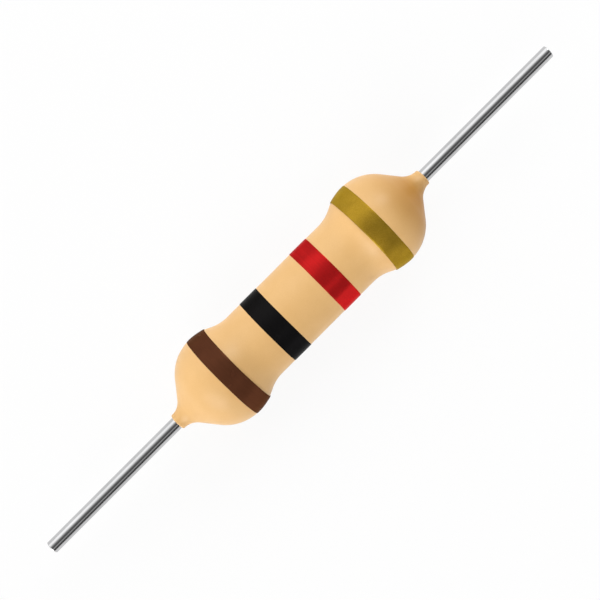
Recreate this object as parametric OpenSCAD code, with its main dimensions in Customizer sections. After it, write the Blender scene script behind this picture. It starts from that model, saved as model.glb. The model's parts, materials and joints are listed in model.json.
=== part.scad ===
// Axial film resistor, sizes in millimetres.
// The resistor's axis lies along X and its middle is the origin. Band 1 is towards -X, band 4 towards +X.
// All pieces but the film are turned: an outline of [along X, radius] points is swung about the axis.

/* [Overall] */
// Length from the tip of one lead to the tip of the other
overall_l = 35.1; // [28:0.1:80]
// Gap left between pieces that touch or are bonded
seat_gap = 0.01; // [0.01:0.005:0.03]

/* [Ceramic core] */
// Diameter of the ceramic rod
core_d = 3.3; // [2.7:0.1:4]
// Length of the ceramic rod
core_l = 12.6; // [10:0.1:16]
// Radius of the eased edge at each end of the rod
core_edge_r = 0.25; // [0.21:0.01:0.4]

/* [Carbon film] */
// Thickness of the film, drawn thicker than the real one
film_t = 0.04; // [0.03:0.01:0.06]
// Turns of the groove that trims the film to a helical track
groove_turns = 6; // [3:1:9]
// Width of the groove along the axis
groove_w = 0.25; // [0.15:0.01:0.35]
// Uncut film between each end cap and the groove
groove_land = 0.7; // [0.4:0.1:1]

/* [End caps] */
// Wall of the drawn cups
cap_wall = 0.3; // [0.2:0.05:0.35]
// Length of a cup, from its mouth to its outer face
cap_l = 2.42; // [1.9:0.01:2.8]
// Radius inside the cup's closed end
cap_inner_r = 0.2; // [0.1:0.01:0.2]
// Length of the belled mouth
mouth_l = 0.3; // [0.2:0.05:0.5]
// How far the mouth is belled out
mouth_bell = 0.06; // [0.02:0.01:0.1]

/* [Leads] */
// Diameter of the wire
lead_d = 0.7; // [0.5:0.05:0.9]
// Diameter of the wire's upset foot where it is welded to the cap
foot_d = 1; // [0.95:0.05:1.4]
// Length over which the foot runs down to the wire
foot_l = 1.5; // [1.2:0.1:1.6]
// Chamfer at the cut tip
tip_chamfer = 0.05; // [0.02:0.01:0.1]

/* [Lacquer coat] */
// Lacquer over the film, along the waist
coat_on_film = 0.265; // [0.2:0.005:0.35]
// Lacquer over the widest part of each cap
coat_on_cap = 0.49; // [0.4:0.01:0.7]
// Length of lacquer from a cap's outer face to the end of its collar
coat_on_lead = 2.1; // [1.8:0.01:2.6]
// Lacquer round the wire at the end of the collar
collar_t = 0.09; // [0.06:0.01:0.15]
// Radius of the hollow where the waist turns up to a bulge
hollow_r = 2.1; // [1.5:0.1:2.6]
// Radius of the bulge on the side of the waist
shoulder_r = 2.65; // [2:0.05:3.2]
// Radius of the dome on the side of the lead
dome_r = 2.35; // [1.9:0.01:2.8]
// Radius of the neck between the dome and the collar
neck_r = 0.95; // [0.6:0.05:1.6]

/* [Colour bands] */
// Thickness of the paint
paint_t = 0.03; // [0.02:0.01:0.05]
// Width of the first and last bands
end_band_w = 1.06; // [0.7:0.01:1.4]
// Width of the two middle bands
mid_band_w = 1.14; // [0.7:0.01:1.4]
// Distance from a bulge's widest point in to the middle of its band
end_band_inset = 0.41; // [0:0.01:0.8]
// Distance between the middles of the two middle bands
mid_band_pitch = 3.5; // [2.4:0.1:4.4]

/* [Hidden] */
$fn = 96;
ARC_SAG = 0.0015;   // furthest that a straight stretch of an outline may lie from its arc
FILM_COLUMNS = 36;  // straight-sided columns round the film
NECK_SHARE = 0.95;  // most of the room that the neck's radius may take

core_r = core_d / 2;
lead_r = lead_d / 2;
foot_r = foot_d / 2;

// Film on the rod
film_in_r = core_r + seat_gap;
film_r = film_in_r + film_t;
film_end = core_l / 2 - core_edge_r;

// Cap on the film
cap_bore_r = film_r + seat_gap;
cap_r = cap_bore_r + cap_wall;
cap_floor = core_l / 2 + seat_gap;
cap_face = cap_floor + cap_wall;
cap_mouth = cap_face - cap_l;
cap_outer_r = cap_inner_r + cap_wall;

// Wire on the cap: the foot is a hollow curve that ends level with the wire
foot_face = cap_face + seat_gap;
foot_end = foot_face + foot_l;
foot_curve_r = (foot_l ^ 2 + (foot_r - lead_r) ^ 2) / (2 * (foot_r - lead_r));

// Groove, centred between the two caps
groove_pitch = (2 * (cap_mouth - groove_land) - groove_w) / groove_turns;

// Lacquer: arcs that run into each other, found from where their centres lie
waist_r = film_r + coat_on_film;
bulge_r = cap_r + coat_on_cap;
bulge_x = cap_face - cap_l / 2;
collar_r = lead_r + collar_t;
coat_end = cap_face + coat_on_lead;
collar_round = collar_t - seat_gap;
neck_x = coat_end - collar_round;

blend_reach = hollow_r + shoulder_r;
blend_drop = waist_r + hollow_r - (bulge_r - shoulder_r);
blend_angle = acos(blend_drop / blend_reach);
hollow_x = bulge_x - blend_reach * sin(blend_angle);

dome_to_neck = neck_x - bulge_x;
dome_to_collar = collar_r - (bulge_r - dome_r);
neck_room = (dome_to_neck ^ 2 + dome_to_collar ^ 2 - dome_r ^ 2) / (2 * (dome_r - dome_to_collar));
neck_fit_r = min(neck_r, NECK_SHARE * neck_room);
neck_rise = dome_to_collar + neck_fit_r;
flank_angle = atan2(dome_to_neck, neck_rise)
    - acos((dome_r + neck_fit_r) / norm([dome_to_neck, neck_rise]));

end_band_x = bulge_x - end_band_inset;
mid_band_x = mid_band_pitch / 2;

COAT = "#F0C892";
CERAMIC = "#ECE7DC";
CARBON = "#2B2B2D";
STEEL = "#B9BCC0";
TIN = "#9EA1A5";
BROWN = "#5E3926";
BLACK = "#1A1819";
RED = "#B81A1B";
GOLD = "#A8872E";

// Points along an arc about centre c, from angle a to angle b. With first = 1 it starts one point on,
// where the outline before it already ends at angle a.
function arc(c, r, a, b, first = 0) =
    let (
        stretch = 2 * acos(1 - ARC_SAG / r),
        steps = ceil(abs(b - a) / stretch)
    )
    [for (i = [first:steps]) let (t = a + (b - a) * i / steps) c + r * [cos(t), sin(t)]];

// The same points on the other side of the middle, still in order along X
function mirrored(points) =
    [for (i = [len(points) - 1:-1:0]) [-points[i].x, points[i].y]];

function both_sides(points) = concat(mirrored(points), points);

function reversed(points) = [for (i = [len(points) - 1:-1:0]) points[i]];

function raised(points, by) = [for (p = points) p + [0, by]];

// Outside of the lacquer from the waist out to the collar's end
coat_half = concat(
    arc([hollow_x, waist_r + hollow_r], hollow_r, 270, 270 + blend_angle),
    arc([bulge_x, bulge_r - shoulder_r], shoulder_r, 90 + blend_angle, 90, first = 1),
    arc([bulge_x, bulge_r - dome_r], dome_r, 90, 90 - flank_angle, first = 1),
    arc([neck_x, collar_r + neck_fit_r], neck_fit_r, 270 - flank_angle, 270),
    arc([neck_x, collar_r - collar_round], collar_round, 90, 0, first = 1)
);
coat_outline = both_sides(coat_half);

// The stretch of the lacquer's outside from a to b along X
function coat_between(a, b) = concat(
    [[a, lookup(a, coat_outline)]],
    [for (p = coat_outline) if (p.x > a && p.x < b) p],
    [[b, lookup(b, coat_outline)]]
);

// Outside of a cap from its mouth to its face, and of the wire's foot, both grown by g
function cap_outside(g) = concat(
    [[cap_mouth - g, cap_r + mouth_bell + g], [cap_mouth + mouth_l, cap_r + g]],
    arc([cap_face - cap_outer_r, cap_r - cap_outer_r], cap_outer_r + g, 90, 0)
);

function foot_outside(g) =
    let (sweep = asin(foot_l / foot_curve_r))
    arc([foot_end, lead_r + foot_curve_r], foot_curve_r - g, 270 - sweep, 270);

// The film is a sleeve of straight-sided columns round the axis. The groove crosses a column once in each of
// its turns, so it leaves one more stretch of film there than it has turns. An edge is where a stretch ends.
last_stretch = groove_turns;
seam_edges = 2 * groove_turns + 4;
column_edges = 2 * groove_turns + 2;
film_points = seam_edges + (FILM_COLUMNS - 1) * column_edges;

// Middle of the groove's pass j at the start of column k
function groove_x(j, k) = groove_pitch * (j - groove_turns / 2 + k / FILM_COLUMNS);

function film_edges(k) =
    let (last_pass = k == 0 ? groove_turns : groove_turns - 1)
    [
        -film_end,
        for (j = [0:last_pass], side = [-1, 1]) groove_x(j, k) + side * groove_w / 2,
        film_end
    ];

function film_layer(r) = [
    for (k = [0:FILM_COLUMNS - 1], x = film_edges(k))
    let (turn = 360 * k / FILM_COLUMNS)
    [x, r * cos(turn), r * sin(turn)]
];

// Numbers of the points where stretch i meets the start and the finish of column k. The groove starts and
// stops on the seam, where the first and last stretches also hold the points at its ends.
function column_point(k, edge) = seam_edges + (k - 1) * column_edges + edge;

function column_start(k, i) =
    k > 0 ? [column_point(k, 2 * i), column_point(k, 2 * i + 1)]
    : [for (n = [2 * i:i < last_stretch ? 2 * i + 1 : 2 * i + 3]) n];

function column_finish(k, i) =
    k < FILM_COLUMNS - 1 ? [column_point(k + 1, 2 * i), column_point(k + 1, 2 * i + 1)]
    : [for (n = [i > 0 ? 2 * i + 2 : 0:2 * i + 3]) n];

// Triangles between two rows of points that run the same way
function strip(a, b) = concat(
    [for (i = [1:len(a) - 1]) [a[i - 1], a[i], b[0]]],
    [for (i = [1:len(b) - 1]) [a[len(a) - 1], b[i], b[i - 1]]]
);

// The same points on the inner layer
function inner(row) = [for (n = row) n + film_points];

function film_stretch(k, i) =
    let (
        start = column_start(k, i),
        finish = column_finish(k, i),
        low = [start[0], finish[0]],
        high = [start[len(start) - 1], finish[len(finish) - 1]]
    )
    concat(
        strip(start, finish), strip(inner(finish), inner(start)),
        strip(low, inner(low)), strip(inner(high), high)
    );

// Swings a closed outline of [along X, radius] points about the X axis
module turned(outline) {
    rotate([0, 90, 0])
        rotate_extrude()
            polygon([for (p = outline) [p.y, p.x]]);
}

module ceramic_core() {
    edge = arc([core_l / 2 - core_edge_r, core_r - core_edge_r], core_edge_r, 90, 0);
    color(CERAMIC)
        turned(concat([[-core_l / 2, 0]], both_sides(edge), [[core_l / 2, 0]]));
}

module carbon_film() {
    groove_start = [1, 2];
    groove_stop = [seam_edges - 3, seam_edges - 2];
    faces = concat(
        [for (k = [0:FILM_COLUMNS - 1], i = [0:last_stretch]) each film_stretch(k, i)],
        strip(groove_start, inner(groove_start)),
        strip(inner(groove_stop), groove_stop)
    );
    color(CARBON)
        polyhedron(concat(film_layer(film_r), film_layer(film_in_r)), faces);
}

module end_cap() {
    bore = concat(
        [[cap_mouth, cap_bore_r + mouth_bell], [cap_mouth + mouth_l, cap_bore_r]],
        arc([cap_floor - cap_inner_r, cap_bore_r - cap_inner_r], cap_inner_r, 90, 0),
        [[cap_floor, 0]]
    );
    color(STEEL)
        turned(concat(cap_outside(0), [[cap_face, 0]], reversed(bore)));
}

module end_cap_first() {
    mirror([1, 0, 0])
        end_cap();
}

module end_cap_last() {
    end_cap();
}

module lead() {
    tip = overall_l / 2;
    color(TIN)
        turned(concat(
            [[foot_face, 0]],
            foot_outside(0),
            [[tip - tip_chamfer, lead_r], [tip, lead_r - tip_chamfer], [tip, 0]]
        ));
}

module lead_first() {
    mirror([1, 0, 0])
        lead();
}

module lead_last() {
    lead();
}

module lacquer_coat() {
    hollow = concat(
        [[cap_mouth - seat_gap, film_r + seat_gap]],
        cap_outside(seat_gap),
        foot_outside(seat_gap)
    );
    color(COAT)
        turned(concat(coat_outline, reversed(both_sides(hollow))));
}

// A ring of paint on the lacquer, with its edges sloped in
module paint_band(middle, width, paint) {
    low = middle - width / 2;
    high = middle + width / 2;
    inside = raised(coat_between(low, high), seat_gap);
    outside = raised(coat_between(low + paint_t, high - paint_t), seat_gap + paint_t);
    color(paint)
        turned(concat(outside, reversed(inside)));
}

module band_1_brown() {
    paint_band(-end_band_x, end_band_w, BROWN);
}

module band_2_black() {
    paint_band(-mid_band_x, mid_band_w, BLACK);
}

module band_3_red() {
    paint_band(mid_band_x, mid_band_w, RED);
}

module band_4_gold() {
    paint_band(end_band_x, end_band_w, GOLD);
}

ceramic_core();
carbon_film();
end_cap_first();
end_cap_last();
lead_first();
lead_last();
lacquer_coat();
band_1_brown();
band_2_black();
band_3_red();
band_4_gold();
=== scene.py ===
# Looks of the axial film resistor: lacquer coat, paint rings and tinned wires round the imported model.
# Lengths are in metres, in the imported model's frame: X runs along the wires and Z is up. All outer
# pieces are turned about X, so each is an outline of (along X, radius) points swung about that axis.
import json
import math

import bpy
import numpy as np
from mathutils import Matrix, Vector, noise


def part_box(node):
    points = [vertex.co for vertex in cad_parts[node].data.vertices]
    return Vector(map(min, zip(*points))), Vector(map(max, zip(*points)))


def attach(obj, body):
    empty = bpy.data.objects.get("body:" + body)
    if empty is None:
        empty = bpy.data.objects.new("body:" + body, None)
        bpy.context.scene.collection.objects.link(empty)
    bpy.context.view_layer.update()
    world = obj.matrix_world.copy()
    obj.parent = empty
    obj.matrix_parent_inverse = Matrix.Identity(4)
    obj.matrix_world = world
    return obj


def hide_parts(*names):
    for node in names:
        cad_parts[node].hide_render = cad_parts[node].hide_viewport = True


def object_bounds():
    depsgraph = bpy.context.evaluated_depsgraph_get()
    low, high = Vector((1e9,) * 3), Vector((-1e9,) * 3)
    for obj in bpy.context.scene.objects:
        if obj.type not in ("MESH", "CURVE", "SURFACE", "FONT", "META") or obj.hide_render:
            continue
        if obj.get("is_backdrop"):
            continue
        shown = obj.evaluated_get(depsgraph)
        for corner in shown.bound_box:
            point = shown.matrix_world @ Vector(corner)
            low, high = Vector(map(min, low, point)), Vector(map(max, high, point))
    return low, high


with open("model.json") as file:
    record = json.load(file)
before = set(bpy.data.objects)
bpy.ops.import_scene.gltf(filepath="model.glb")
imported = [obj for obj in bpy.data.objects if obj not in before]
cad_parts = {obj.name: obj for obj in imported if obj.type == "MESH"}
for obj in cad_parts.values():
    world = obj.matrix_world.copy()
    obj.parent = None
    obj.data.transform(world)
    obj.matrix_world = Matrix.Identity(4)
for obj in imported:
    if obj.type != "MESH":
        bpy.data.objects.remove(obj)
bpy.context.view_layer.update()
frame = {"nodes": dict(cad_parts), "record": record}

MM = 0.001

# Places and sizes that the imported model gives
MOUNTS = {mount["name"]: mount for mount in frame["record"]["mounts"]}
WIRE_R = MOUNTS["lead_last_wire"]["dims"]["r_mm"] * MM


def ends(node):
    """Where a node starts and finishes along X."""
    low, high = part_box(node)
    return low.x, high.x


def outer_radius(node):
    """A turned node's radius, taken downwards, where the model's facets have a corner."""
    return -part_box(node)[0].z


CAP_MOUTH, CAP_FACE = ends("end_cap_last")
FOOT_FACE, WIRE_TIP = ends("lead_last")
COAT_END = ends("lacquer_coat")[1]
FOOT_R = outer_radius("lead_last")
BULGE_R = outer_radius("lacquer_coat")

# Sizes that a box can't give, as in the model's source
SEAT_GAP = 0.01 * MM
PAINT_T = 0.03 * MM
MOUTH_BELL = 0.06 * MM
MOUTH_L = 0.3 * MM
CAP_WALL = 0.3 * MM
CAP_OUTER_R = 0.5 * MM
FOOT_L = 1.5 * MM
COLLAR_T = 0.09 * MM
HOLLOW_R = 2.1 * MM
SHOULDER_R = 2.65 * MM
DOME_R = 2.35 * MM
NECK_R = 0.95 * MM
TIP_EDGE = 0.05 * MM

WAIST_R = outer_radius("band_2_black") - PAINT_T - SEAT_GAP
CAP_R = outer_radius("end_cap_last") - MOUTH_BELL
FILM_R = CAP_R - CAP_WALL - SEAT_GAP
BULGE_X = (CAP_MOUTH + CAP_FACE) / 2

# Fineness of the meshes
ROW_STEP = 0.056 * MM            # most that two rows lie apart along an arc or a line
SAME_POINT = 0.001 * ROW_STEP    # two points as close as this are one
LEAST_STEPS = 6                  # steps along the smallest arc
COLUMNS = 192                    # round the coat and the paint
WIRE_COLUMNS = 96


# ---------------------------------------------------------------- outlines

def arc(centre, radius, start, finish):
    """Points along an arc between two angles in degrees."""
    turn = math.radians(finish - start)
    steps = max(LEAST_STEPS, math.ceil(radius * abs(turn) / ROW_STEP))
    angles = math.radians(start) + turn * np.arange(steps + 1) / steps
    return np.stack([centre[0] + radius * np.cos(angles), centre[1] + radius * np.sin(angles)], 1)


def line(start, finish):
    """Points along a straight line between two points."""
    start, finish = np.array(start), np.array(finish)
    steps = max(1, math.ceil(np.linalg.norm(finish - start) / ROW_STEP))
    return start + (finish - start) * np.arange(steps + 1)[:, None] / steps


def joined(*runs):
    """One outline from runs of points, without the points that two runs share."""
    points = np.concatenate(runs)
    apart = np.linalg.norm(np.diff(points, axis=0), axis=1) > SAME_POINT
    return points[np.concatenate([[True], apart])]


def mirrored(points):
    """The same outline on the other side of the middle, run the other way."""
    return points[::-1] * (-1, 1)


def coat_half():
    """Outside of the lacquer from the end of the straight waist to the end of its collar."""
    collar_r = WIRE_R + COLLAR_T
    collar_round = COLLAR_T - SEAT_GAP
    neck_x = COAT_END - collar_round
    reach = HOLLOW_R + SHOULDER_R
    drop = WAIST_R + HOLLOW_R - (BULGE_R - SHOULDER_R)
    blend = math.degrees(math.acos(drop / reach))
    hollow_x = BULGE_X - reach * math.sin(math.radians(blend))
    rise = collar_r + NECK_R - (BULGE_R - DOME_R)
    run = neck_x - BULGE_X
    lean = math.acos((DOME_R + NECK_R) / math.hypot(run, rise))
    flank = math.degrees(math.atan2(run, rise) - lean)
    return joined(
        arc((hollow_x, WAIST_R + HOLLOW_R), HOLLOW_R, 270, 270 + blend),
        arc((BULGE_X, BULGE_R - SHOULDER_R), SHOULDER_R, 90 + blend, 90),
        arc((BULGE_X, BULGE_R - DOME_R), DOME_R, 90, 90 - flank),
        arc((neck_x, collar_r + NECK_R), NECK_R, 270 - flank, 270),
        arc((neck_x, collar_r - collar_round), collar_round, 90, 0),
    )


def coat_outside():
    """Outside of the lacquer from the end of one collar to the end of the other."""
    half = coat_half()
    waist_end = half[0, 0]
    return joined(mirrored(half), line((-waist_end, WAIST_R), (waist_end, WAIST_R)), half)


def foot_outside(gap):
    """The hollow curve of the wire's foot, from its face out to the plain wire, grown by a gap."""
    spread = FOOT_R - WIRE_R
    radius = (FOOT_L**2 + spread**2) / (2 * spread)
    sweep = math.degrees(math.asin(FOOT_L / radius))
    return arc((FOOT_FACE + FOOT_L, WIRE_R + radius), radius - gap, 270 - sweep, 270)


def coat_inside():
    """Inside of the lacquer over the film, the two caps and the two wires' feet."""
    before_mouth = CAP_MOUTH - SEAT_GAP
    half = joined(
        np.array([
            [before_mouth, FILM_R + SEAT_GAP],
            [before_mouth, CAP_R + MOUTH_BELL + SEAT_GAP],
            [CAP_MOUTH + MOUTH_L, CAP_R + SEAT_GAP],
        ]),
        arc((CAP_FACE - CAP_OUTER_R, CAP_R - CAP_OUTER_R), CAP_OUTER_R + SEAT_GAP, 90, 0),
        foot_outside(SEAT_GAP),
    )
    return joined(mirrored(half), half)


OUTSIDE = coat_outside()


def coat_radius(x):
    """Radius of the lacquer's smooth outline at places along X."""
    return np.interp(x, OUTSIDE[:, 0], OUTSIDE[:, 1])


# ------------------------------------------------------------------ meshes

def turns(columns):
    """Angles of the columns round the axis."""
    return 2 * math.pi * np.arange(columns) / columns


def swung(x, radius, angle):
    """Places about the X axis, where angle 0 is straight up."""
    return np.stack([x, -radius * np.sin(angle), radius * np.cos(angle)], -1)


def swells(places, width, shift=(0, 0, 0)):
    """Smooth noise from about -1 to 1 at each place, with swells about as wide as width."""
    return np.array([noise.noise(Vector(place) / width + Vector(shift)) for place in places])


def skin(name, places, shares, finish, closed):
    """A piece from rows of places round the axis.

    shares says where each row lies on the texture map, from 0 to 1. The last row joins the first when
    closed, and otherwise a fan of triangles fills the first row and another one the last.
    """
    rows, columns, _ = places.shape
    vertices = places.reshape(-1, 3)
    faces, marks = [], []
    shares = np.append(shares, 1.0)
    for row in range(rows if closed else rows - 1):
        after = (row + 1) % rows
        low, high = shares[row], shares[row + 1]
        for column in range(columns):
            beside = (column + 1) % columns
            faces.append((row * columns + column, row * columns + beside,
                          after * columns + beside, after * columns + column))
            left, right = column / columns, (column + 1) / columns
            marks += [(left, low), (right, low), (right, high), (left, high)]
    if not closed:
        for row, map_end, order in ((0, 0.0, -1), (rows - 1, 1.0, 1)):
            middle = len(vertices)
            vertices = np.vstack([vertices, places[row].mean(0)])
            for column in range(columns):
                pair = (column, (column + 1) % columns)[::order]
                faces.append((row * columns + pair[0], row * columns + pair[1], middle))
                edge = [((column + step) / columns, shares[row]) for step in (0, 1)][::order]
                marks += [*edge, ((column + 0.5) / columns, map_end)]
    mesh = bpy.data.meshes.new(name)
    mesh.from_pydata(vertices.tolist(), [], faces)
    mesh.polygons.foreach_set("use_smooth", [True] * len(faces))
    layer = mesh.uv_layers.new(name="OFBake")
    layer.uv.foreach_set("vector", np.array(marks, np.float32).ravel())
    mesh.materials.append(finish)
    mesh.update()
    piece = bpy.data.objects.new(name, mesh)
    bpy.context.scene.collection.objects.link(piece)
    return piece


def travelled(outline, weights=1.0):
    """How far round the outline each of its points is, with about one row's room left below 1."""
    lengths = np.linalg.norm(np.diff(outline, axis=0), axis=1) * weights
    so_far = np.concatenate([[0], np.cumsum(lengths)])
    return so_far / (so_far[-1] * (1 + 1 / len(outline)))


def stands_for(piece, slot, *nodes):
    """Ties a piece to the one body and to the nodes it shows instead of, which it hides; slot is not
    used.
    """
    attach(piece, "root")
    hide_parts(*nodes)


# ------------------------------------------------------------ shader nodes

# A Mix node has sockets for several kinds of value, and these are the ones for colours
MIX_SHARE, MIX_FIRST, MIX_SECOND, MIX_RESULT = 0, 6, 7, 2


class Nodes:
    """Short ways to add nodes to one tree."""

    def __init__(self, tree):
        self.tree = tree

    def put(self, socket, value):
        """Links another node's output to a socket, or sets the socket itself to a plain value."""
        if isinstance(value, bpy.types.NodeSocket):
            self.tree.links.new(value, socket)
        else:
            socket.default_value = value

    def feed(self, node, **inputs):
        """Puts a value into each named input, where an underscore stands for a space."""
        for name, value in inputs.items():
            self.put(node.inputs[name.replace("_", " ")], value)

    def add(self, kind, settings=None, **inputs):
        """A new node of one kind with its settings made and its inputs fed."""
        node = self.tree.nodes.new(kind)
        for name, value in (settings or {}).items():
            setattr(node, name, value)
        self.feed(node, **inputs)
        return node

    def math(self, operation, *values):
        """The result of one operation on one or two values."""
        node = self.add("ShaderNodeMath", {"operation": operation})
        for socket, value in zip(node.inputs, values):
            self.put(socket, value)
        return node.outputs[0]

    def between(self, value, low, high, to_low=0.0, to_high=1.0):
        """value brought from low..high to to_low..to_high, smoothly and no further."""
        node = self.add("ShaderNodeMapRange", {"interpolation_type": "SMOOTHSTEP"}, Value=value,
                        From_Min=low, From_Max=high, To_Min=to_low, To_Max=to_high)
        return node.outputs["Result"]

    def mix(self, share, first, second):
        """A colour that goes from first to second as share goes from 0 to 1."""
        node = self.add("ShaderNodeMix", {"data_type": "RGBA"})
        for place, value in ((MIX_SHARE, share), (MIX_FIRST, first), (MIX_SECOND, second)):
            self.put(node.inputs[place], value)
        return node.outputs[MIX_RESULT]

    def places(self, stretch=(1, 1, 1)):
        """The piece's own coordinates in millimetres, times a stretch along each axis."""
        node = self.add("ShaderNodeMapping", Vector=self.add("ShaderNodeTexCoord").outputs["Object"])
        node.inputs["Scale"].default_value = [times / MM for times in stretch]
        return node.outputs[0]

    def parts(self, vector):
        """The outputs X, Y and Z of a vector, by name."""
        return self.add("ShaderNodeSeparateXYZ", Vector=vector).outputs

    def noise(self, places, scale=1.0, detail=2.0, roughness=0.5):
        """Cloudy noise from 0 to 1, finer with a greater scale."""
        node = self.add("ShaderNodeTexNoise", Vector=places, Scale=scale, Detail=detail,
                        Roughness=roughness)
        return node.outputs["Fac"]

    def bump(self, height, distance, normal=None):
        """A surface that rises by distance as height goes from 0 to 1, over another one if given."""
        node = self.add("ShaderNodeBump", Height=height, Distance=distance, Strength=1.0)
        if normal is not None:
            self.put(node.inputs["Normal"], normal)
        return node.outputs[0]


def grey(light):
    """A grey of one level of light, as a colour."""
    return (light,) * 3 + (1.0,)


def colour(*written):
    """A colour written as red, green and blue from 0 to 255, as light by the sRGB curve."""
    return tuple(
        (v / 255 / 12.92) if v / 255 <= 0.04045 else ((v / 255 + 0.055) / 1.055) ** 2.4
        for v in written
    ) + (1.0,)


# --------------------------------------------------------------- materials
# Textures lie in millimetres, so noise of scale 2 has swells about half a millimetre wide.

MOST_OF_NOISE = (0.3, 0.7)    # nearly all of a noise's values lie between these

# Painted shade on the lacquer: a darker orange on the last end's dome and neck, most towards -Y. Along
# X, in millimetres, it grows over the first range and goes again over the second, and across Y it goes
# from the most to the least.
SHADE_FROM = (5.5, 7.8)
SHADE_UNTIL = (7.75, 8.55)
SHADE_ACROSS = (-0.8, 2.4)
SHADE_MOST, SHADE_LEAST = 0.97, 0.35

LACQUER_GRAIN = 0.18          # most that the darker grain shows
LACQUER_PEEL = 0.0022 * MM    # height of the fine swells that a brushed or dipped coat dries with
LACQUER_DUST = 0.00012 * MM

PAINT_UNEVEN = 0.25           # share of the way from thin to full paint that streaks and clouds make
PAINT_SHADED_SIDE = 0.75            # painted shade: share of the way to the darker colour that grows towards +Y, over these millimetres
PAINT_SHADE_ACROSS = (-2.0, 2.0)
PAINT_GLOSS = 0.04            # how far the paint's roughness goes down and up
PAINT_PEEL = 0.0016 * MM
PAINT_STREAK = 0.0003 * MM

FLAKES_A_MM = 34.0
FLAKE_SHINE = 0.35            # most that a flake's brighter colour shows
FLAKE_TILT = 0.0005 * MM

WIRE_LINED = 0.25             # most that the darker drawing lines show
WIRE_LINES = 0.0003 * MM
WIRE_DIP = 0.0006 * MM

CERAMIC_GRAIN = 0.002 * MM
CARBON_GRAIN = 0.0008 * MM
CAP_LINES = 0.0006 * MM


def material(name):
    """A new material with its nodes and its principled shader."""
    made = bpy.data.materials.new(name)
    made.use_nodes = True
    nodes = Nodes(made.node_tree)
    shader = made.node_tree.nodes["Principled BSDF"]
    return made, nodes, shader


def lacquer_material():
    """Cream lacquer, faintly clouded and grained, with painted shade: a darker orange on the last end,
    most towards -Y.
    """
    made, nodes, shader = material("cream_lacquer")
    places = nodes.places()
    clouds = nodes.between(nodes.noise(places, scale=0.9, detail=3.0), *MOST_OF_NOISE)
    cream = nodes.mix(clouds, colour(233, 188, 126), colour(230, 184, 121))
    grain = nodes.between(nodes.noise(places, scale=24.0), low=0.35, high=0.75, to_high=LACQUER_GRAIN)
    grained = nodes.mix(grain, cream, colour(212, 160, 98))
    parts = nodes.parts(places)
    # painted shade: greatest on the last end's dome and neck towards -Y, and nothing elsewhere
    shade_grows = nodes.between(parts["X"], *SHADE_FROM)
    until = nodes.between(parts["X"], *SHADE_UNTIL, to_low=1.0, to_high=0.0)
    across = nodes.between(parts["Y"], *SHADE_ACROSS, to_low=SHADE_MOST, to_high=SHADE_LEAST)
    painted_shade = nodes.math("MULTIPLY", nodes.math("MULTIPLY", shade_grows, until), across)
    gloss = nodes.noise(places, scale=3.0, detail=3.0)
    peel = nodes.bump(nodes.noise(places, scale=2.6), LACQUER_PEEL)
    nodes.feed(
        shader,
        # the painted shade brings in this darker orange
        Base_Color=nodes.mix(painted_shade, grained, colour(194, 133, 38)),
        Roughness=nodes.between(gloss, low=0.25, high=0.75, to_low=0.34, to_high=0.42),
        Normal=nodes.bump(nodes.noise(places, scale=38.0, detail=1.0), LACQUER_DUST, peel),
        IOR=1.5,
        Specular_IOR_Level=0.31,
    )
    return made


def paint_material(name, thin, full, metallic, roughness, specular, edge):
    """Marking paint rolled on round the body, streaked along its way, with painted light and shade:
    lighter towards -Y and darker towards +Y.

    The first colour is the lighter one, for thin paint and the painted lit side, and the second the
    darker one, for full paint and the painted shade; edge tints it where it is seen aslant.
    """
    made, nodes, shader = material(name)
    places = nodes.places()
    streaks = nodes.noise(nodes.places(stretch=(14, 0.5, 0.5)), detail=3.0)
    clouds = nodes.noise(places, scale=1.6)
    both = nodes.math("MULTIPLY", nodes.math("ADD", streaks, clouds), 0.5)
    uneven = nodes.between(both, low=0.38, high=0.62, to_high=PAINT_UNEVEN)
    # painted light and shade: the paint is lighter towards -Y and darker towards +Y
    side = nodes.between(nodes.parts(places)["Y"], *PAINT_SHADE_ACROSS, to_high=PAINT_SHADED_SIDE)
    smooth, rough = roughness - PAINT_GLOSS, roughness + PAINT_GLOSS
    peel = nodes.bump(nodes.noise(places, scale=3.4), PAINT_PEEL)
    nodes.feed(
        shader,
        Base_Color=nodes.mix(nodes.math("ADD", uneven, side), colour(*thin), colour(*full)),
        Roughness=nodes.between(clouds, low=0.2, high=0.8, to_low=smooth, to_high=rough),
        Normal=nodes.bump(streaks, PAINT_STREAK, peel),
        Metallic=metallic,
        Specular_IOR_Level=specular,
        Specular_Tint=(*edge, 1.0),
    )
    return made


def gold_material():
    """Bronze-coloured flakes in clear paint, each flake tilted a little its own way."""
    made, nodes, shader = material("gold_paint_flake")
    places = nodes.places()
    flakes = nodes.add("ShaderNodeTexVoronoi", Vector=places, Scale=FLAKES_A_MM)
    chances = nodes.add("ShaderNodeSeparateColor", Color=flakes.outputs["Color"])
    shine, gloss, tilt = chances.outputs
    clouds = nodes.between(nodes.noise(places, scale=1.4), *MOST_OF_NOISE)
    worn = nodes.mix(clouds, colour(161, 128, 35), colour(148, 116, 30))
    shining = nodes.between(shine, low=0.0, high=1.0, to_high=FLAKE_SHINE)
    peel = nodes.bump(nodes.noise(places, scale=3.4), PAINT_PEEL)
    nodes.feed(
        shader,
        Base_Color=nodes.mix(shining, worn, colour(190, 154, 58)),
        Roughness=nodes.between(gloss, low=0.0, high=1.0, to_low=0.32, to_high=0.42),
        Normal=nodes.bump(tilt, FLAKE_TILT, peel),
        Metallic=0.6,
        Specular_IOR_Level=0.0,
        Specular_Tint=(1.0, 0.9, 0.5, 1.0),
    )
    return made


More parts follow.
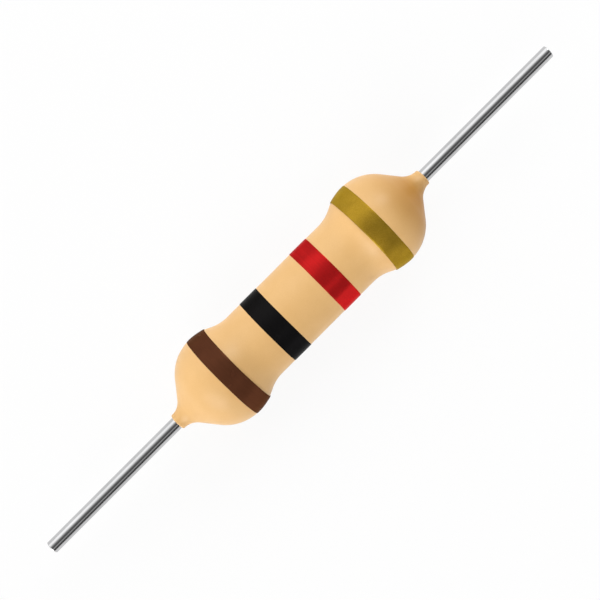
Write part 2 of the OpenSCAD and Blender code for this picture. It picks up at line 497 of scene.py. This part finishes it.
def wire_material():
    """Tinned copper with fine drawing lines along the wire and a slightly cloudy dip."""
    made, nodes, shader = material("tinned_copper")
    lines = nodes.noise(nodes.places(stretch=(0.12, 16, 16)), detail=3.0, roughness=0.6)
    clouds = nodes.noise(nodes.places(stretch=(0.8, 2, 2)), detail=3.0)
    dip = nodes.bump(nodes.noise(nodes.places(stretch=(1.2, 2.5, 2.5))), WIRE_DIP)
    cloudy = nodes.between(clouds, *MOST_OF_NOISE)
    tin = nodes.mix(cloudy, colour(204, 204, 205), colour(192, 192, 193))
    lined = nodes.between(lines, *MOST_OF_NOISE, to_high=WIRE_LINED)
    nodes.feed(
        shader,
        Base_Color=nodes.mix(lined, tin, colour(169, 169, 171)),
        Roughness=nodes.between(clouds, low=0.25, high=0.75, to_low=0.12, to_high=0.17),
        Normal=nodes.bump(lines, WIRE_LINES, dip),
        Metallic=1.0,
    )
    return made


def ceramic_material():
    """Off-white fired ceramic with a fine grain."""
    made, nodes, shader = material("alumina_ceramic")
    grain = nodes.noise(nodes.places(), scale=18.0, detail=4.0)
    shade = nodes.between(grain, *MOST_OF_NOISE)
    nodes.feed(
        shader,
        Base_Color=nodes.mix(shade, colour(236, 231, 220), colour(226, 219, 206)),
        Roughness=nodes.between(grain, *MOST_OF_NOISE, to_low=0.5, to_high=0.62),
        Normal=nodes.bump(grain, CERAMIC_GRAIN),
    )
    return made


def carbon_material():
    """Black carbon film, a little cloudy."""
    made, nodes, shader = material("carbon_film_black")
    places = nodes.places()
    clouds = nodes.noise(places, scale=2.2, detail=4.0)
    shade = nodes.between(clouds, *MOST_OF_NOISE)
    nodes.feed(
        shader,
        Base_Color=nodes.mix(shade, colour(44, 44, 46), colour(30, 30, 33)),
        Roughness=nodes.between(clouds, *MOST_OF_NOISE, to_low=0.36, to_high=0.5),
        Normal=nodes.bump(nodes.noise(places, scale=24.0, detail=3.0), CARBON_GRAIN),
    )
    return made


def cap_material():
    """Drawn steel: fine lines along the cup where it was pulled through its die."""
    made, nodes, shader = material("drawn_steel")
    lines = nodes.noise(nodes.places(stretch=(0.3, 12, 12)), detail=3.0, roughness=0.6)
    shade = nodes.between(lines, *MOST_OF_NOISE)
    nodes.feed(
        shader,
        Base_Color=nodes.mix(shade, colour(204, 205, 207), colour(178, 179, 182)),
        Roughness=nodes.between(lines, *MOST_OF_NOISE, to_low=0.26, to_high=0.38),
        Normal=nodes.bump(lines, CAP_LINES),
        Metallic=1.0,
    )
    return made


# ------------------------------------------------------------ lacquer coat

# Swells of the lacquer, as height and width
LONG_SWELL = (0.006 * MM, 2.4 * MM)
SHORT_SWELL = (0.0025 * MM, 0.8 * MM)
NECK_SWELL = (0.02 * MM, 0.5 * MM)      # at the necks and collars, where the last drops set
NECK_FULLER = 0.012 * MM                # how much fuller the coat is there
NECK_START = 7.7 * MM                   # from the middle, where both set in
NECK_FULL = 8.2 * MM                    # and where they are whole

COLLAR_WANDER = 0.025 * MM              # most that a collar's end falls short of its full length
COLLAR_WANDER_W = 0.4 * MM
COLLAR_MOVES = 2 * COLLAR_T             # length of a collar that its end takes along

INSIDE_SHARE = 0.1    # share of its length that the hidden side of a piece gets on its texture map


def unevenness(places):
    """How far the lacquer stands proud or shy of its outline at each place."""
    flat = places.reshape(-1, 3)
    past_start = (np.abs(flat[:, 0]) - NECK_START) / (NECK_FULL - NECK_START)
    over_wire = (np.hypot(flat[:, 1], flat[:, 2]) - WIRE_R) / COLLAR_T
    neck = np.clip(past_start, 0, 1) * np.clip(over_wire, 0, 1)
    total = NECK_FULLER * neck
    for (height, width), share in ((LONG_SWELL, 1), (SHORT_SWELL, 1), (NECK_SWELL, neck)):
        total += share * height * swells(flat, width)
    return total.reshape(places.shape[:-1])


def collar_shortfall(side, angles):
    """How far short of its full length one collar's end falls, round the wire."""
    end = swung(np.full(COLUMNS, side * COAT_END), np.full(COLUMNS, WIRE_R), angles)
    return COLLAR_WANDER * (1 + swells(end, COLLAR_WANDER_W)) / 2


def lacquer_coat():
    """The lacquer body: an uneven outside, and an inside that follows what it covers."""
    outline = np.concatenate([OUTSIDE, coat_inside()[::-1]])
    outer = len(OUTSIDE)
    angles = turns(COLUMNS)
    x = np.repeat(outline[:, :1], COLUMNS, 1)
    radius = np.repeat(outline[:, 1:], COLUMNS, 1)
    radius[:outer] += unevenness(swung(x[:outer], radius[:outer], angles))
    for side in (-1, 1):
        before_end = COAT_END - side * OUTSIDE[:, 0]
        share = np.clip((COLLAR_MOVES - before_end) / COLLAR_T, 0, 1)
        x[:outer] -= side * share[:, None] * collar_shortfall(side, angles)
    weights = np.where(np.arange(len(outline) - 1) < outer, 1.0, INSIDE_SHARE)
    places = swung(x, radius, angles)
    piece = skin("lacquer_body", places, travelled(outline, weights), lacquer_material(), closed=True)
    stands_for(piece, "lacquer", "lacquer_coat")


# ------------------------------------------------------------- paint rings

PAINT_SHOWN_T = 0.016 * MM    # paint over the lacquer, inside the model's own ring
PAINT_LIP = 0.005 * MM        # paint at a ring's very edge
LIP_W = 0.06 * MM             # how far in from an edge the paint takes to reach its full thickness
PAINT_UNDER = 0.001 * MM      # height of a ring's underside over the lacquer
GATHER_LENGTH = 1.0 * MM      # where the coat dips, more paint gathers: the dip squared over this
EDGE_WANDER = 0.01 * MM       # most that an edge wanders along X
EDGE_WANDER_W = 1.3 * MM

# Rows across a ring as shares of its width: close ones on the lip, and even ones from the lip's inside
LIP_ROWS = np.array((0, 0.004, 0.012, 0.024, 0.04))
LIP_INSIDE = 0.06
RING_ROOM = 1.02              # a ring's texture map over its last row's place, with room to close it


def paint_ring(name, node, slot, paint, seed):
    """A ring of paint in place of the model's own, whose seed sets how its two edges wander."""
    start, finish = ends(node)
    even_rows = math.ceil((finish - start) / ROW_STEP)
    even = np.linspace(LIP_INSIDE, 1 - LIP_INSIDE, even_rows)
    across = np.concatenate([LIP_ROWS, even, 1 - LIP_ROWS[::-1]])
    angles = turns(COLUMNS)

    def edge(x, side):
        """Where an edge lies in each column, with side -1 at the ring's start and 1 at its finish."""
        circle = swung(np.full(COLUMNS, x), np.full(COLUMNS, coat_radius(x)), angles)
        return x + side * EDGE_WANDER * swells(circle, EDGE_WANDER_W, (seed, side, 0))

    low, high = edge(start, -1), edge(finish, 1)
    x = low + (high - low) * across[:, None]
    smooth = coat_radius(x)
    ground = smooth + unevenness(swung(x, smooth, angles))
    gathered = (smooth.max() - smooth)**2 / GATHER_LENGTH
    from_edge = np.minimum(across, 1 - across)[:, None] * (high - low)
    rise = np.sin(np.clip(from_edge / LIP_W, 0, 1) * math.pi / 2)
    paint_t = gathered + PAINT_LIP + (PAINT_SHOWN_T - PAINT_LIP) * rise
    over = swung(x, ground + paint_t, angles)
    under = swung(x, ground + PAINT_UNDER, angles)[::-1]
    way = np.concatenate([across, 1 + (1 - across[::-1]) * INSIDE_SHARE])
    shares = way / (way[-1] * RING_ROOM)
    piece = skin(name, np.concatenate([over, under]), shares, paint, closed=True)
    stands_for(piece, slot, node)


# ------------------------------------------------------------------- wires

FOOT_MIDDLE_R = FOOT_R / 8    # innermost row on the foot's face, which a fan of triangles fills
PLAIN_END = 3 * TIP_EDGE      # how far before the tip the plain wire's rows end
TIP_LEAST = TIP_EDGE / 2      # rounding of the cut end's edge, far from the cutter
TIP_ROLL = 0.02 * MM          # how much rounder it is where the cutter entered
TIP_SLANT = 0.008 * MM        # how far the cut runs back across the wire
CUT_STEPS = 8                 # rows round the edge, and as many on the cut face
CUT_FACE = (0.75, 0.1)        # outermost and innermost row on the face, as shares of its radius


def wire(name, node, side, cut_turn, metal):
    """A lead: upset foot, plain wire and a sheared tip, rolled over where the cutter entered.

    side is 1 for the wire towards +X and -1 for the other, and cut_turn is the cutter's place round
    the wire in degrees.
    """
    angles = turns(WIRE_COLUMNS)
    near_cutter = (1 + np.cos(angles - math.radians(cut_turn))) / 2
    rolled = TIP_LEAST + TIP_ROLL * near_cutter
    slant = TIP_SLANT * near_cutter
    body = joined(
        line((FOOT_FACE, FOOT_MIDDLE_R), (FOOT_FACE, FOOT_R)),
        foot_outside(0),
        line((FOOT_FACE + FOOT_L, WIRE_R), (WIRE_TIP - PLAIN_END, WIRE_R)),
    )
    corner = np.linspace(0, math.pi / 2, CUT_STEPS)[:, None]
    inward = np.linspace(*CUT_FACE, CUT_STEPS)[:, None]
    x = np.concatenate([
        np.repeat(body[:, :1], WIRE_COLUMNS, 1),
        WIRE_TIP - slant - rolled * (1 - np.sin(corner)),
        WIRE_TIP - TIP_SLANT / 2 - (slant - TIP_SLANT / 2) * inward,
    ])
    radius = np.concatenate([
        np.repeat(body[:, 1:], WIRE_COLUMNS, 1),
        WIRE_R - rolled * (1 - np.cos(corner)),
        (WIRE_R - rolled) * inward,
    ])
    places = swung(x, radius, angles)
    if side < 0:
        places = (places * (-1, 1, 1))[:, ::-1]
    outline = np.stack([x[:, 0], radius[:, 0]], 1)
    piece = skin(name, places, travelled(outline), metal, closed=False)
    stands_for(piece, "tinned_wire", node)


def carried_over():
    """The model's own pieces inside the lacquer keep their shape and get their finish."""
    cap = cap_material()
    for node, finish in (("ceramic_core", ceramic_material()), ("carbon_film", carbon_material()),
                         ("end_cap_first", cap), ("end_cap_last", cap)):
        for slot in frame["nodes"][node].material_slots:
            slot.material = finish


# ------------------------------------------------------------------- stage

CAMERA_HEIGHT = 70 * MM       # over the axis, between what the end rings and the inner rings show
SEEN_WIDTH = 30 * MM          # at the axis
CAMERA_TURN = -45             # degrees, so that the axis runs from the lower left to the upper right
CAMERA_OFF = (-0.028 * MM, -0.007 * MM)    # so that the part lies a hair off the picture's middle
CAMERA_CLIP = (0.002, 5)
SENSOR = 36                   # width of the camera's sensor, in millimetres as Blender takes it

FLOOR_SIDE = 1.6
FLOOR_GREY = 0.93
FLOOR_LIT_SHARE = 0.1         # share of the floor that shows light and shadow, and the rest is white


def camera():
    """Looks straight down on the part."""
    data = bpy.data.cameras.new("camera")
    data.sensor_width = SENSOR
    data.lens = SENSOR * CAMERA_HEIGHT / SEEN_WIDTH
    data.clip_start, data.clip_end = CAMERA_CLIP
    made = bpy.data.objects.new("camera", data)
    made.location = (*CAMERA_OFF, CAMERA_HEIGHT)
    made.rotation_euler = (0, 0, math.radians(CAMERA_TURN))
    bpy.context.scene.collection.objects.link(made)
    bpy.context.scene.camera = made


def seen_directly(nodes):
    """1 for rays from the camera, from a mirror or through glass, and 0 for the rest."""
    path = nodes.add("ShaderNodeLightPath").outputs
    either = nodes.math("MAXIMUM", path["Is Camera Ray"], path["Is Glossy Ray"])
    return nodes.math("MAXIMUM", either, path["Is Transmission Ray"])


def floor_material():
    """White where it is seen directly, but for a faint share that shows the part's shadow."""
    made = bpy.data.materials.new("white_floor")
    made.use_nodes = True
    made.node_tree.nodes.clear()
    nodes = Nodes(made.node_tree)
    lit = nodes.add("ShaderNodeBsdfDiffuse", Color=grey(FLOOR_GREY))
    plain = nodes.add("ShaderNodeEmission", Color=grey(1.0), Strength=1.0)
    both = nodes.add("ShaderNodeMixShader")
    share = nodes.math("MULTIPLY", seen_directly(nodes), 1 - FLOOR_LIT_SHARE)
    for socket, value in zip(both.inputs, (share, lit.outputs[0], plain.outputs[0])):
        nodes.put(socket, value)
    nodes.add("ShaderNodeOutputMaterial", Surface=both.outputs[0])
    return made


def floor():
    """A floor at the part's lowest point."""
    half = FLOOR_SIDE / 2
    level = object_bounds()[0].z
    corners = [(-half, -half, level), (half, -half, level), (half, half, level), (-half, half, level)]
    mesh = bpy.data.meshes.new("floor")
    mesh.from_pydata(corners, [], [(0, 1, 2, 3)])
    mesh.materials.append(floor_material())
    piece = bpy.data.objects.new("floor", mesh)
    bpy.context.scene.collection.objects.link(piece)
    piece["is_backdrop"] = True


# Light from the sky over the middle, by degrees about X from straight up, positive towards +Y: a dark
# ceiling, a long panel beside the part and a narrow strip on its other side
SKY_ANGLES_AND_LIGHT = (
    (-90, 1.0), (-79, 0.35), (-71, 0.1), (-62, 0.06), (-53, 0.06), (-43, 0.1),
    (-37, 0.57), (-30, 0.57), (-23, 0.12), (-12, 0.12), (0, 0.14), (10, 0.3),
    (20, 0.56), (33, 1.15), (48, 1.6), (65, 1.6), (80, 1.2), (90, 1.0),
)
SKY_MOST = 2.0                     # light that the ramp's white stands for

# How far a direction leans along X, as the share of its length, where the middle's light gives way
MIDDLE_TO_FIRST = (0.47, 0.72)
MIDDLE_TO_LAST = (0.36, 0.6)

# Light beyond the first wire, which grows upwards and towards -Y from its least
FIRST_END_LEAST = 0.7
FIRST_END_RISE, FIRST_END_TOWARDS_Y = 4.4, -9.6
OVERHEAD = 0.2                     # light high over the first end, and the heights where it takes over
OVERHEAD_HEIGHTS = (0.6, 0.85)
LAST_END = 0.26                    # light beyond the last wire
BACKDROP = 1.0                     # light of the pale backdrop all round, and the heights where it ends
BACKDROP_HEIGHTS = (0.208, 0.222)

LAMP_AZIMUTH = 35                  # degrees from +X towards +Y
LAMP_TILT = 56                     # degrees from straight up
LAMP_HALF_ANGLE = 16               # half of how many degrees wide it looks from the part
LAMP_LIGHT = 0.379                 # what it adds to a white surface that faces it
LAMP_AWAY = 0.3                    # from the part's middle


def ramp_place(angle):
    """Where an angle from -90 to 90 degrees lies on the sky's ramp, from 0 to 1."""
    return 0.5 + angle / 180


def sky_ramp(nodes, leaning):
    """The sky's light over the middle, for directions that lean by an angle in radians."""
    ramp = nodes.add("ShaderNodeValToRGB",
                     Fac=nodes.math("ADD", nodes.math("DIVIDE", leaning, math.pi), ramp_place(0)))
    stops = ramp.color_ramp.elements
    while len(stops) > 1:
        stops.remove(stops[0])
    for count, (angle, light) in enumerate(SKY_ANGLES_AND_LIGHT):
        stop = stops.new(ramp_place(angle)) if count else stops[0]
        stop.position = ramp_place(angle)
        stop.color = grey(light / SKY_MOST)
    return nodes.math("MULTIPLY", ramp.outputs["Color"], SKY_MOST)


def sky():
    """A soft studio whose light goes by direction, from the middle's ramp to what lies at each end."""
    world = bpy.data.worlds.new("studio")
    bpy.context.scene.world = world
    world.use_nodes = True
    world.node_tree.nodes.clear()
    nodes = Nodes(world.node_tree)
    parts = nodes.parts(nodes.add("ShaderNodeTexCoord").outputs["Generated"])
    middle = sky_ramp(nodes, nodes.math("ARCTAN2", parts["Y"], parts["Z"]))
    rise = nodes.math("MULTIPLY", parts["Z"], FIRST_END_RISE)
    towards = nodes.math("MULTIPLY", parts["Y"], FIRST_END_TOWARDS_Y)
    first = nodes.math("MAXIMUM", FIRST_END_LEAST, nodes.math("ADD", rise, towards))
    first = nodes.mix(nodes.between(parts["Z"], *OVERHEAD_HEIGHTS), first, grey(OVERHEAD))
    to_first = nodes.between(nodes.math("MULTIPLY", parts["X"], -1.0), *MIDDLE_TO_FIRST)
    to_last = nodes.between(parts["X"], *MIDDLE_TO_LAST)
    light = nodes.mix(to_last, nodes.mix(to_first, middle, first), grey(LAST_END))
    low_down = nodes.between(parts["Z"], *BACKDROP_HEIGHTS, to_low=1.0, to_high=0.0)
    light = nodes.mix(low_down, light, grey(BACKDROP))
    shown = nodes.add("ShaderNodeBackground", Color=light, Strength=1.0)
    nodes.add("ShaderNodeOutputWorld", Surface=shown.outputs[0])


def lamp():
    """A weak disc lamp that fills in."""
    data = bpy.data.lights.new("fill_lamp", "AREA")
    data.shape = "DISK"
    data.size = 2 * LAMP_AWAY * math.tan(math.radians(LAMP_HALF_ANGLE))
    data.energy = LAMP_LIGHT * math.pi**2 * LAMP_AWAY**2
    made = bpy.data.objects.new("fill_lamp", data)
    turn, lean = math.radians(LAMP_AZIMUTH), math.radians(LAMP_TILT)
    across = math.sin(lean)
    towards = Vector((across * math.cos(turn), across * math.sin(turn), math.cos(lean)))
    made.location = LAMP_AWAY * towards
    made.rotation_euler = towards.to_track_quat("Z", "Y").to_euler()
    bpy.context.scene.collection.objects.link(made)


# ------------------------------------------------------------------- scene

camera()
lacquer_coat()
brown = paint_material("brown_marking", thin=(97, 57, 38), full=(82, 48, 32), metallic=0.25,
                       roughness=0.24, specular=0.0, edge=(0.7, 0.6, 0.5))
paint_ring("paint_1_brown", "band_1_brown", "brown_paint", brown, seed=11)
black = paint_material("black_marking", thin=(27, 26, 27), full=(23, 22, 22), metallic=0.4,
                       roughness=0.26, specular=0.02, edge=(0.05, 0.05, 0.05))
paint_ring("paint_2_black", "band_2_black", "black_paint", black, seed=23)
red = paint_material("red_marking", thin=(211, 36, 37), full=(168, 28, 29), metallic=0.5,
                     roughness=0.22, specular=0.0, edge=(1.0, 0.5, 0.5))
paint_ring("paint_3_red", "band_3_red", "red_paint", red, seed=37)
paint_ring("paint_4_gold", "band_4_gold", "gold_paint", gold_material(), seed=53)
tin = wire_material()
wire("wire_first", "lead_first", side=-1, cut_turn=35, metal=tin)
wire("wire_last", "lead_last", side=1, cut_turn=65, metal=tin)
carried_over()
floor()
sky()
lamp()
bpy.context.scene.view_settings.view_transform = "Standard"
